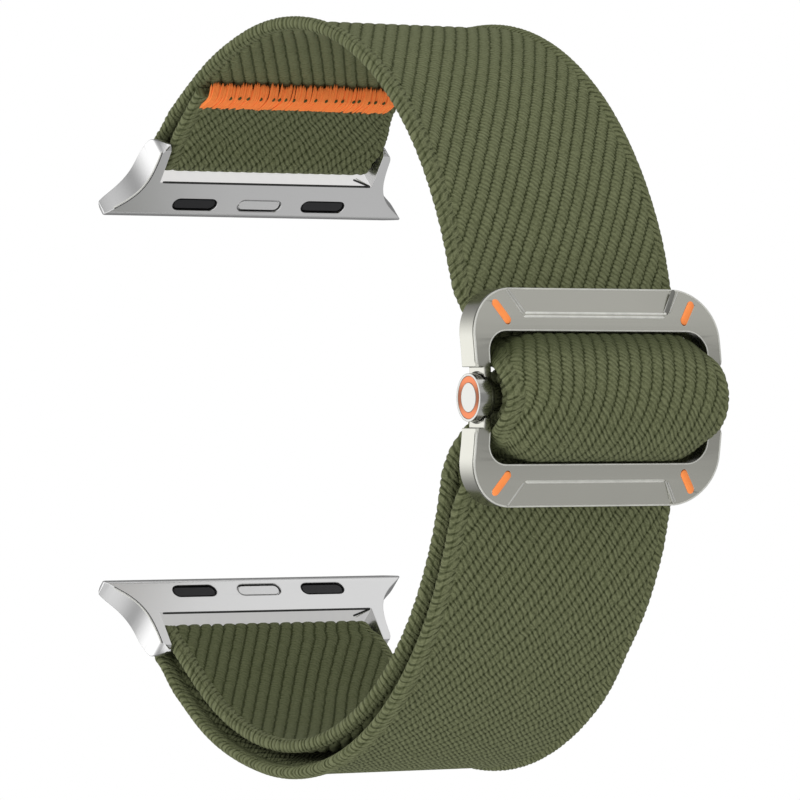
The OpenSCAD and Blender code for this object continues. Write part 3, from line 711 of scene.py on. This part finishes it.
def strap_piece(name, s0, s1, replaced, body=None, between=None):
    """One stretch of the strip, as its woven middle and its two edges. It rides on a
    body, or, given two points, is left where it is built; the points are not used."""
    weave = weave_slab(name + "_weave", s0, s1)
    weave.data.materials.append(WEAVE)
    pieces = [weave]
    for hand, word in ((-1, "near"), (1, "far")):
        edge = selvage_cord(f"{name}_{word}_edge", s0, s1, hand)
        edge.data.materials.append(EDGE)
        pieces.append(edge)
    for piece in pieces:
        if between:
            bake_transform(piece)
        else:
            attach(piece, body)
    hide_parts(*replaced)


def ring_point(angle, radius=RUN):
    """A place in metres on one of the ring's layers, at an angle up from +Y."""
    return (0, radius * cosd(angle) * MM, radius * sind(angle) * MM)


# The stretches beside the buckle are each given two points on the ring
lead_end = MARKS["lip"][0]
low_start = MARKS["low_lip"][1]
turn_mid = sum(MARKS["low_loop"]) / 2
bar_start = MARKS["swing"][1]
strip_end = ROUTE[0][-1]
strap_piece(
    "strap_upper",
    0,
    lead_end,
    ["strap_upper_loop", "strap_upper_run", "strap_upper_lead"],
    between=(ring_point(104), ring_point(158)),
)
strap_piece("strap_arch", lead_end, low_start, ["strap_arch"], body="slider")
strap_piece(
    "strap_lower",
    low_start,
    turn_mid,
    ["strap_lower_lead", "strap_lower_run", "strap_lower_loop"],
    between=(ring_point(256), ring_point(202)),
)
strap_piece(
    "strap_return",
    turn_mid,
    bar_start,
    ["strap_return_run", "strap_return_lead"],
    between=(ring_point(256, RETURN), ring_point(207, RETURN)),
)
strap_piece("strap_bar_loop", bar_start, strip_end, ["strap_bar_loop"], body="slider")


def metal_material(name, colour, rough, bevel):
    """Satin metal: fine grain in roughness and relief, and edges rounded in the shading
    by a bevel in millimetres."""
    material, m, shader = new_material(name)
    where = m.node("TexCoord").outputs["Object"]
    grit = m.noise(where, 4800, 3, 0.6)
    cloud = m.ramp(m.noise(where, 120, 3, 0.5), 0.3, 0.7)
    tint = m.mix(cloud, colour, tuple(min(1, c * 1.03) for c in colour))
    roughness = m.add(rough - 0.01, m.times(grit, 0.02))
    m.fill(shader, {"Base Color": tint, "Metallic": 1, "Roughness": roughness})
    round_edge = m.node("Bevel", {"Radius": bevel * MM})
    round_edge.samples = 8
    relief(m, shader, grit, 0.1, 0.002, round_edge.outputs[0])
    return material


def plain_material(name, colour, rough, grain, scale, spec=0.4):
    """Rubber, enamel, thread or a painted line: a soft mottle of the given scale in
    colour, roughness and relief."""
    material, m, shader = new_material(name)
    mottle = m.noise(m.node("TexCoord").outputs["Object"], scale, 4, 0.6)
    cloud = m.ramp(mottle, 0.25, 0.75)
    tint = m.mix(cloud, colour, tuple(min(1, c * 1.25) for c in colour))
    roughness = m.add(rough - 0.05, m.times(mottle, 0.1))
    m.fill(shader, {"Base Color": tint, "Roughness": roughness, "Specular IOR Level": spec})
    relief(m, shader, mottle, grain, 0.01)
    return material


def paint_glow(material, colour, strength):
    """Painted light: an emission that lifts a material a little, though it is no lamp."""
    shader = material.node_tree.nodes["Principled BSDF"]
    shader.inputs["Emission Color"].default_value = (*colour, 1)
    shader.inputs["Emission Strength"].default_value = strength


TITANIUM = metal_material("buckle_titanium", (0.52, 0.517, 0.465), 0.24, 0.05)
SILVER = metal_material("lug_silver", (0.70, 0.70, 0.70), 0.26, 0.05)
BUTTON = metal_material("button_silver", (0.60, 0.60, 0.60), 0.28, 0.05)
POLISHED = metal_material("hub_polished", (0.48, 0.48, 0.455), 0.16, 0.08)
SPRING = metal_material("spring_steel", (0.55, 0.55, 0.56), 0.35, 0.02)
RUBBER = plain_material("pad_rubber", (0.012, 0.012, 0.014), 0.5, 0.3, 900)
ENAMEL = plain_material("orange_enamel", (0.93, 0.25, 0.055), 0.4, 0.1, 700)
THREAD = plain_material("orange_thread", (0.95, 0.235, 0.055), 0.7, 0.5, 2500, 0.2)
OLIVE_THREAD = plain_material("olive_thread", OLIVE, 0.8, 0.5, 2500, 0.2)
KNOT_THREAD = plain_material("knot_thread", (0.07, 0.08, 0.025), 0.8, 0.5, 2500, 0.2)
# Painted highlight lines that ride on the metal, along its rims, chamfers and facets
RIM_HIGHLIGHT = plain_material("painted_rim_highlight", (0.56, 0.56, 0.52), 0.4, 0.05, 700)
CHAMFER_HIGHLIGHT = plain_material("painted_chamfer_highlight", (0.66, 0.66, 0.62), 0.4, 0.05, 700)
SOFT_HIGHLIGHT = plain_material("painted_soft_highlight", (0.46, 0.46, 0.43), 0.4, 0.05, 700)
# Painted shadow and painted shade lines along the lugs' windows and the frame's edges
SHADOW_LINE = plain_material("shadow_line", (0.03, 0.03, 0.03), 0.5, 0.05, 700)
SHADE_GREY = plain_material("painted_shade_grey", (0.16, 0.16, 0.145), 0.5, 0.05, 700)
# Painted light: the enamel, the orange thread and the highlight lines glow a little
paint_glow(ENAMEL, (1.0, 0.27, 0.08), 0.2)
paint_glow(THREAD, (1.0, 0.28, 0.08), 0.12)
paint_glow(CHAMFER_HIGHLIGHT, (1.0, 1.0, 0.93), 0.06)
paint_glow(RIM_HIGHLIGHT, (1.0, 1.0, 0.93), 0.04)
# Painted light on the wall of each lug's strap window and its mating face, upper (1) and
# lower (-1): each lug has its own grey and glow, as the light falls on it
LIT_STEEL, LIT_FACE_STEEL = {}, {}
for sign, word, grey, window_glow, face_glow in (
    (1, "upper", 0.42, 0.68, 0.17),
    (-1, "lower", 0.38, 0.46, 0.29),
):
    LIT_STEEL[sign] = metal_material("window_" + word, (0.45, 0.45, 0.45), 0.5, 0.02)
    LIT_FACE_STEEL[sign] = metal_material("face_" + word, (grey, grey, grey), 0.3, 0.05)
    paint_glow(LIT_STEEL[sign], (1.0, 0.985, 1.0), window_glow)
    paint_glow(LIT_FACE_STEEL[sign], (1.0, 1.0, 1.0), face_glow)


def anodised_material():
    """Orange ring on the hub, with a painted reflection: bright above and below its middle,
    brown at its sides.
    """
    material = metal_material("hub_orange", (0.62, 0.15, 0.05), 0.3, 0.03)
    nodes = material.node_tree.nodes
    m = Maths(nodes, material.node_tree.links)
    height = m.parts(m.node("TexCoord").outputs["Object"])[2]
    reflection_band = m.ramp(m("ABSOLUTE", height), 0.3 * MM, 1.6 * MM)
    painted_reflection_orange = m.mix(reflection_band, (0.27, 0.085, 0.035), (0.66, 0.20, 0.08))
    m.fill(nodes["Principled BSDF"], {"Base Color": painted_reflection_orange})
    return material


ANODISED = anodised_material()


def softened(node_name, body, material, width, angle=28):
    """Copy of a CAD node whose flat faces are merged and whose edges are rounded by a
    narrow bevel, riding on the same body. Edges sharper than the angle are bevelled."""
    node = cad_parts[node_name]
    mesh = node.data.copy()
    mesh.transform(node.matrix_world)
    merged = bmesh.new()
    merged.from_mesh(mesh)
    bmesh.ops.remove_doubles(merged, verts=merged.verts, dist=0.002 * MM)
    bmesh.ops.dissolve_limit(
        merged, angle_limit=math.radians(0.6), verts=merged.verts, edges=merged.edges
    )
    merged.to_mesh(mesh)
    merged.free()
    mesh.materials.clear()
    mesh.materials.append(material)
    count = len(mesh.polygons)
    mesh.polygons.foreach_set("use_smooth", np.ones(count, bool))
    mesh.polygons.foreach_set("material_index", np.zeros(count, np.int32))
    mesh.set_sharp_from_angle(angle=math.radians(angle))
    obj = add_object(node_name + "_finish", mesh)
    bevel = obj.modifiers.new("edges", "BEVEL")
    bevel.width = width * MM
    bevel.segments = 3
    bevel.limit_method = "ANGLE"
    bevel.angle_limit = math.radians(angle)
    bevel.use_clamp_overlap = False
    flatten = obj.modifiers.new("flat", "WEIGHTED_NORMAL")
    flatten.weight = 100
    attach(obj, body)
    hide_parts(node_name)
    return obj


FINISHES = {
    TITANIUM: ["centre_bar"],
    SILVER: ["upper_pin", "upper_button", "lower_pin"],
    BUTTON: ["lower_button"],
    POLISHED: ["near_hub", "far_hub"],
    SPRING: ["upper_spring", "lower_spring"],
    RUBBER: ["upper_near_pad", "upper_far_pad", "lower_near_pad", "lower_far_pad"],
}
for material, names in FINISHES.items():
    for name in names:
        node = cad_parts[name]
        node.data.materials.clear()
        node.data.materials.append(material)


def lug_axes(sign):
    """Rail edge, the direction along the lug and the direction into it from its mating
    face, in Y and Z, for the upper (1) or the lower (-1) lug."""
    along = (-sind(LUG_TILT), sign * cosd(LUG_TILT))
    inwards = (cosd(LUG_TILT), sign * sind(LUG_TILT))
    rail = (
        PIN[0] - PIN_REACH * along[0] - PIN_DEPTH * inwards[0],
        sign * PIN[1] - PIN_REACH * along[1] - PIN_DEPTH * inwards[1],
    )
    return rail, along, inwards


def lug_faces(mesh, sign):
    """Material number of each face of a lug: 1 on the wall of the strap window beside
    the rail, 2 on the flat mating face, and 0 elsewhere."""
    rail, along, inwards = lug_axes(sign)
    centre = np.empty(len(mesh.polygons) * 3, np.float32)
    normal = np.empty_like(centre)
    mesh.polygons.foreach_get("center", centre)
    mesh.polygons.foreach_get("normal", normal)
    off = centre.reshape(-1, 3)[:, 1:] / MM - np.array(rail)
    normal = normal.reshape(-1, 3)
    facing = normal[:, 1:] @ np.array(along)
    window = (np.abs(off @ np.array(along) - WINDOW) < 0.05) & (facing > 0.95)
    level = np.abs(off @ np.array(inwards)) < 0.05
    mating = level & (np.abs(facing) < 0.05) & (np.abs(normal[:, 0]) < 0.05)
    return np.select([mating, window], [2, 1], 0).astype(np.int32)


for body, sign in LUGS:
    lug = softened(body, body, SILVER, 0.07)
    lug.data.materials.append(LIT_STEEL[sign])
    lug.data.materials.append(LIT_FACE_STEEL[sign])
    lug.data.polygons.foreach_set("material_index", lug_faces(lug.data, sign))
buckle = softened("buckle_frame", "frame", TITANIUM, 0.07, 20)
for hub_ring in ("near_hub_ring", "far_hub_ring"):
    softened(hub_ring, "slider", ANODISED, 0.03)


def tubes(name, lines, radius, material, axis=(1.0, 0.02, 0.01), flat=1.0, sides=6):
    """One mesh of many round threads, from an array of lines by points by XYZ in
    millimetres. Each ring is the line's point plus r (cos a U + flat sin a V), with U
    and V square to the line and V near the axis given; near both ends r follows a
    quarter circle, so the ends are round."""
    lines = np.asarray(lines, float)
    count, n = lines.shape[:2]
    step = np.gradient(lines, axis=1)
    step = step / np.linalg.norm(step, axis=2, keepdims=True)
    u = np.cross(step, np.array(axis, float))
    u /= np.linalg.norm(u, axis=2, keepdims=True)
    v = np.cross(step, u)
    gaps = np.linalg.norm(np.diff(lines, axis=1), axis=2)
    walk = np.concatenate([np.zeros((count, 1)), np.cumsum(gaps, axis=1)], 1)
    end = np.minimum(walk, walk[:, -1:] - walk)
    size = radius * np.sqrt(np.clip(1 - np.clip(1 - end / radius, 0, 1) ** 2, 0.02, 1))
    turn = np.linspace(0, 2 * math.pi, sides, endpoint=False)[None, None, :, None]
    ring = np.cos(turn) * u[:, :, None] + flat * np.sin(turn) * v[:, :, None]
    points = lines[:, :, None] + size[:, :, None, None] * ring
    index = np.arange(count * n * sides).reshape(count, n, sides)
    beside = np.roll(index, -1, axis=2)
    quads = np.stack([index[:, :-1], beside[:, :-1], beside[:, 1:], index[:, 1:]], -1)
    caps = np.concatenate([index[:, 0, ::-1], index[:, -1]])
    obj, _ = mesh_object(name, points, quads.reshape(-1, 4), caps)
    obj.data.materials.append(material)
    return obj


def rounded_steps(n):
    """Places from 0 to 1, closer together at both ends: (1 - cos(pi k)) / 2."""
    return (1 - np.cos(np.linspace(0, math.pi, n))) / 2


def tail_edge():
    """The tail's raw edge in Y and Z, the way up along the run, from the tail's first
    1.45 mm, and the way out."""
    y, z, look, _, _ = route_at(np.array([0.0, 1.45]))
    up = np.array([y[0] - y[1], z[0] - z[1]])
    up /= np.linalg.norm(up)
    out = np.array([math.cos(look[0]), math.sin(look[0])])
    return np.array([y[0], z[0]]) + out * (HALF + 0.10), up, out


def on_tail(x, climb, lift):
    """Points in space from places about the tail's raw edge: across, up along the run
    and out."""
    edge, up, out = tail_edge()
    x, climb, lift = np.broadcast_arrays(x, climb, lift)
    y = edge[0] + up[0] * climb + out[0] * lift
    z = edge[1] + up[1] * climb + out[1] * lift
    return np.stack([x, y, z], -1)


def tail_stitches(random, x, low, high, lean, raise_by):
    """Orange thread over the tail's raw edge: slanted turns side by side, each a bow
    that climbs from the tail, over the edge and down to the run behind it. Over its
    climb c it stands out by 0.12 sin(pi t) - 0.75 c^1.3."""
    k = len(x)
    t = np.linspace(0, 1, 11)[None, :]
    low = (low + 0.09 * random.standard_normal(k))[:, None]
    high = (high + 0.10 * random.standard_normal(k))[:, None]
    lean = (lean + 0.14 * random.standard_normal(k))[:, None]
    climb = -low + (low + high) * t
    shift = lean * (1 - (1 - t) ** 1.35) + 0.05 * random.standard_normal(k)[:, None]
    lift = raise_by + 0.12 * np.sin(math.pi * t) - 0.75 * np.clip(climb, 0, None) ** 1.3
    return on_tail(x[:, None] + shift, climb, lift)


# Two layers of turns, the lower one sparser, from the strap's near edge to its far edge
random = np.random.default_rng(7)
over = -11.15 + np.cumsum(0.15 + 0.08 * random.random(112))
under = -11.1 + np.cumsum(0.16 + 0.22 * random.random(77))
lower_turns = tail_stitches(random, under[under < 9.6], 1.3, 1.1, 0.72, -0.12)
upper_turns = tail_stitches(random, over[over < 9.75], 1.5, 1.2, 0.72, 0.0)
lines = np.concatenate([lower_turns, upper_turns])
stitches = tubes("tail_stitches", lines, 0.12, THREAD)
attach(stitches, "strap")
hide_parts("tail_thread")


def tail_knots(random):
    """Small dark turns of olive thread peeping out along the middle of the orange, each
    a low bow that stands out by 0.13 - 0.1 t^2."""
    x = -9.6 + np.cumsum(0.55 + 0.9 * random.random(22))
    x = x[x < 9.6][:, None]
    t = np.linspace(-1, 1, 5)[None, :]
    climb = 0.2 + 0.06 * random.standard_normal(len(x))[:, None] + 0.2 * t
    return on_tail(x + 0.35 + 0.1 * t, climb, 0.13 - 0.1 * t**2)


knots = tubes("tail_knots", tail_knots(random), 0.13, KNOT_THREAD)
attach(knots, "strap")


def bar_stitches():
    """Olive thread across the doubled strap below the bar, on its wrist side: arcs of
    the circle about the swing's centre, side by side."""
    random = np.random.default_rng(11)
    x = (np.arange(-9.2, 9.2, 0.42) + 0.12 * random.standard_normal(44))[:, None]
    t = np.linspace(0, 1, 9)[None, :]
    a = np.radians(leg_up - sewn_bend + 3 + (sewn_bend - 6) * t) + 0 * x
    radius = SWING + HALF + 0.12
    y = swing[0] + radius * np.cos(a)
    z = swing[1] + radius * np.sin(a)
    return np.stack([x + 0.35 * t, y, z], -1)


bar_thread = tubes("bar_stitches", bar_stitches(), 0.14, OLIVE_THREAD)
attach(bar_thread, "slider")
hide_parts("bar_thread")


FRONT = (0.0, -1.0, 0.0)


def front_y(z):
    """Y of the buckle's curved front at height z: the circle's centre less
    sqrt(radius^2 - z^2)."""
    return CURVE - np.sqrt(FRONT_RADIUS**2 - np.square(z))


def on_front(ends, n=15, out=0.0):
    """Points from one end to the other on the buckle's front, for each pair of ends."""
    ends = np.asarray(ends, float)
    k = rounded_steps(n)[None, :, None]
    flat = ends[:, None, 0] + (ends[:, None, 1] - ends[:, None, 0]) * k
    x, z = flat[..., 0], flat[..., 1]
    return np.stack([x, front_y(z) - out, z], -1)


def dash_ends(x, z, length, lean):
    """Both ends of the four enamel dashes, which lean towards the frame's corners."""
    side, edge = np.array([-1, 1, -1, 1]), np.array([1, 1, -1, -1])
    half = length / 2 * np.stack([side * sind(lean), edge * cosd(lean)], -1)
    middle = np.stack([side * x, edge * z], -1)
    return np.stack([middle - half, middle + half], 1)


dash_lines = on_front(dash_ends(x=9.7, z=7.64, length=2.45, lean=34), n=25, out=-0.02)
dashes = tubes("dashes", dash_lines, 0.38, ENAMEL, FRONT, flat=0.36, sides=12)
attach(dashes, "frame")
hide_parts("dash_upper_near", "dash_upper_far", "dash_lower_near", "dash_lower_far")


def front_outline(edge, inset, out, n=121):
    """Two halves, above and below the hubs' seats, of a rounded rectangle inset from one
    of the frame's edges, as evenly spaced points that stand out from its front. They
    follow the sloping facets, which fall in proportion to the height past their start."""
    half_x, half_z, corner = (size - inset for size in edge)
    a = np.linspace(math.pi, 0, 60)
    arc_x = np.sign(np.cos(a)) * (half_x - corner) + corner * np.cos(a)
    arc_z = half_z - corner + corner * np.sin(a)
    x = np.concatenate([[-half_x], arc_x, [half_x]])
    z = np.concatenate([[LINE_END], arc_z, [LINE_END]])
    walk = np.concatenate([[0], np.cumsum(np.hypot(np.diff(x), np.diff(z)))])
    even = np.linspace(0, walk[-1], n)
    x, z = np.interp(even, walk, x), np.interp(even, walk, z)
    past = np.clip(z - FACET_START, 0, None)
    facet = (past > 0) & (np.abs(x) < FACET_HALF + FACET_SPREAD * past)
    y = np.where(facet, front_y(FACET_START) + FACET_FALL * past, front_y(z)) - out
    return np.stack([np.stack([x, y, z], -1), np.stack([x, y, -z], -1)])


def front_piece(name, lines, radius, material, flat=0.6):
    """Fine raised lines of painted highlight and shade that ride on the buckle's front."""
    piece = tubes(name, lines, radius, material, FRONT, flat)
    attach(piece, "frame")


# Ends in X and Z of the painted highlight lines on the facets, along their inner edges
# and sides, and two short marks at the upper facet's far end: painted shade and highlight
facet_lines = [[(-7.35, 7.52), (7.25, 7.52)], [(-7.5, 7.20), (7.2, 7.20)]]
facet_sides = [
    [(-7.32, 7.52), (-8.62, 9.6)],
    [(-7.56, 7.4), (-8.88, 9.55)],
    [(7.17, 7.6), (8.45, 9.62)],
    [(7.76, 7.6), (9.06, 9.55)],
    [(-7.4, -7.52), (-8.68, -9.6)],
    [(7.34, -7.52), (8.56, -9.5)],
    [(7.62, -7.6), (8.80, -9.45)],
]
facet_ridge = [[(-7.3, -7.48), (7.25, -7.48)]]
facet_end = [[(7.34, 7.45), (8.70, 9.72)]]
facet_spot = [[(7.12, 7.5), (7.42, 7.56)]]
front_piece("facet_lines", on_front(facet_lines), 0.12, CHAMFER_HIGHLIGHT)
front_piece("facet_sides", on_front(facet_sides), 0.09, SOFT_HIGHLIGHT)
front_piece("facet_ridge", on_front(facet_ridge), 0.17, RIM_HIGHLIGHT, 0.3)
front_piece("facet_end", on_front(facet_end), 0.26, SHADE_GREY, 0.25)
front_piece("facet_spot", on_front(facet_spot, n=9, out=0.06), 0.14, CHAMFER_HIGHLIGHT)
# Painted highlights along the frame's outer rim and its opening, painted shade by the side edge
front_piece("outer_rim", front_outline(FRAME_EDGE, 0.06, -0.04), 0.10, RIM_HIGHLIGHT, 0.8)
front_piece("side_seam", front_outline(FRAME_EDGE, 0.01, -0.30), 0.05, SHADE_GREY, 0.8)
front_piece("opening_rim", front_outline(OPENING_EDGE, -0.08, -0.02), 0.07, RIM_HIGHLIGHT)


def lug_half(t):
    """Half width of a lug at t from the rail's edge, as in the CAD source: that of its
    arms, and what the rail has more times exp(-(t / flare length)^power)."""
    flare = np.exp(-((np.clip(t, 0, None) / FLARE_LENGTH) ** FLARE_POWER))
    return LUG_ARM + (RAIL_HALF - LUG_ARM) * flare


def on_lug(sign, x, t, h):
    """Points in space from places on a lug: across, away from the rail's edge, and up
    from the mating face."""
    rail, along, inwards = lug_axes(sign)
    x, t, h = np.broadcast_arrays(x, t, h)
    y = rail[0] + t * along[0] - h * inwards[0]
    z = rail[1] + t * along[1] - h * inwards[1]
    return np.stack([x, y, z], -1)


# Painted shadow and highlight lines along the edges of each lug's strap window and near flank
for body, sign in LUGS:
    k = rounded_steps(31)
    window = on_lug(sign, -11.7 + 23.5 * k, WINDOW + 0.03, -0.02)
    notch = on_lug(sign, 11.75 - 1.5 * k, WINDOW + 0.05, -0.03 - 1.1 * k)
    glint = on_lug(sign, 11.8 - 1.2 * k, WINDOW + 0.09, -0.03 - 1.25 * k)
    side = 0.7 + 7.2 * k
    flank = on_lug(sign, 0.02 - lug_half(side), side, 0.0)
    gleam = on_lug(sign, -0.03 - lug_half(side), side, -0.17)
    painted_shade = tubes(body + "_lines", [window, notch], 0.12, SHADOW_LINE)
    flank_shadow_line = tubes(body + "_seam", [flank], 0.045, SHADOW_LINE)
    light = tubes(body + "_gleam", [gleam, glint], 0.06, CHAMFER_HIGHLIGHT)
    for piece in (painted_shade, flank_shadow_line, light):
        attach(piece, body)


def white_surround():
    """White backdrop for the camera. For everything else, soft light from all round: as
    bright as paper behind and to the left of the band, and in front to the left, and
    dimmer bands, which the buckle's face mirrors, in front to the right."""
    surround = bpy.data.worlds.new("world")
    bpy.context.scene.world = surround
    surround.use_nodes = True
    surround.node_tree.nodes.clear()
    m = Maths(surround.node_tree.nodes, surround.node_tree.links)
    right, back, up = m.parts(m.node("TexCoord").outputs["Generated"])

    # Grey bands by height, from straight below (0) to straight above (1)
    bands = m.node("ValToRGB", {0: m.add(m.times(up, 0.5), 0.5)})
    stops = (
        (0.0, 1.1), (0.05, 0.65), (0.138, 0.58), (0.20, 0.60), (0.30, 0.58), (0.36, 0.42),
        (0.50, 0.42), (0.64, 0.44), (0.70, 0.72), (0.80, 0.70), (0.862, 0.68), (0.90, 0.66),
        (0.925, 1.1), (1.0, 1.3),
    )
    while len(bands.color_ramp.elements) < len(stops):
        bands.color_ramp.elements.new(0.5)
    for element, (at, grey) in zip(bands.color_ramp.elements, stops):
        element.position = at
        element.color = (grey, grey, grey, 1)
    fill = m.add(1.0, m.times(m.ramp(m.times(up, -1), 0.0, 0.6), 0.3))
    facing = m.ramp(m.times(right, -1), 0.05, 0.4)
    front = m.add(m.times(bands.outputs[0], m.rest(facing)), m.times(fill, facing))

    # The paper behind is brightest in one oval spot, and falls off as exp(-distance^2)
    behind = m.ramp(back, 0.0, 0.5)
    aside = m("DIVIDE", m.add(right, 0.5), 0.36)
    above = m("DIVIDE", up, 0.40)
    spread = m.add(m.times(aside, aside), m.times(above, above))
    paper = m.add(0.22, m.times(m("EXPONENT", m.times(spread, -1)), 1.5))
    power = m.add(m.times(front, m.rest(behind)), m.times(paper, behind))
    lit = m.node("Background", {"Color": (1, 1, 1), "Strength": power})
    seen = m.node("Background", {"Color": (1, 1, 1), "Strength": 1.0})
    camera_ray = m.node("LightPath").outputs["Is Camera Ray"]
    blend = m.node("MixShader", {0: camera_ray, 1: lit.outputs[0], 2: seen.outputs[0]})
    m.node("OutputWorld", {"Surface": blend.outputs[0]})


white_surround()
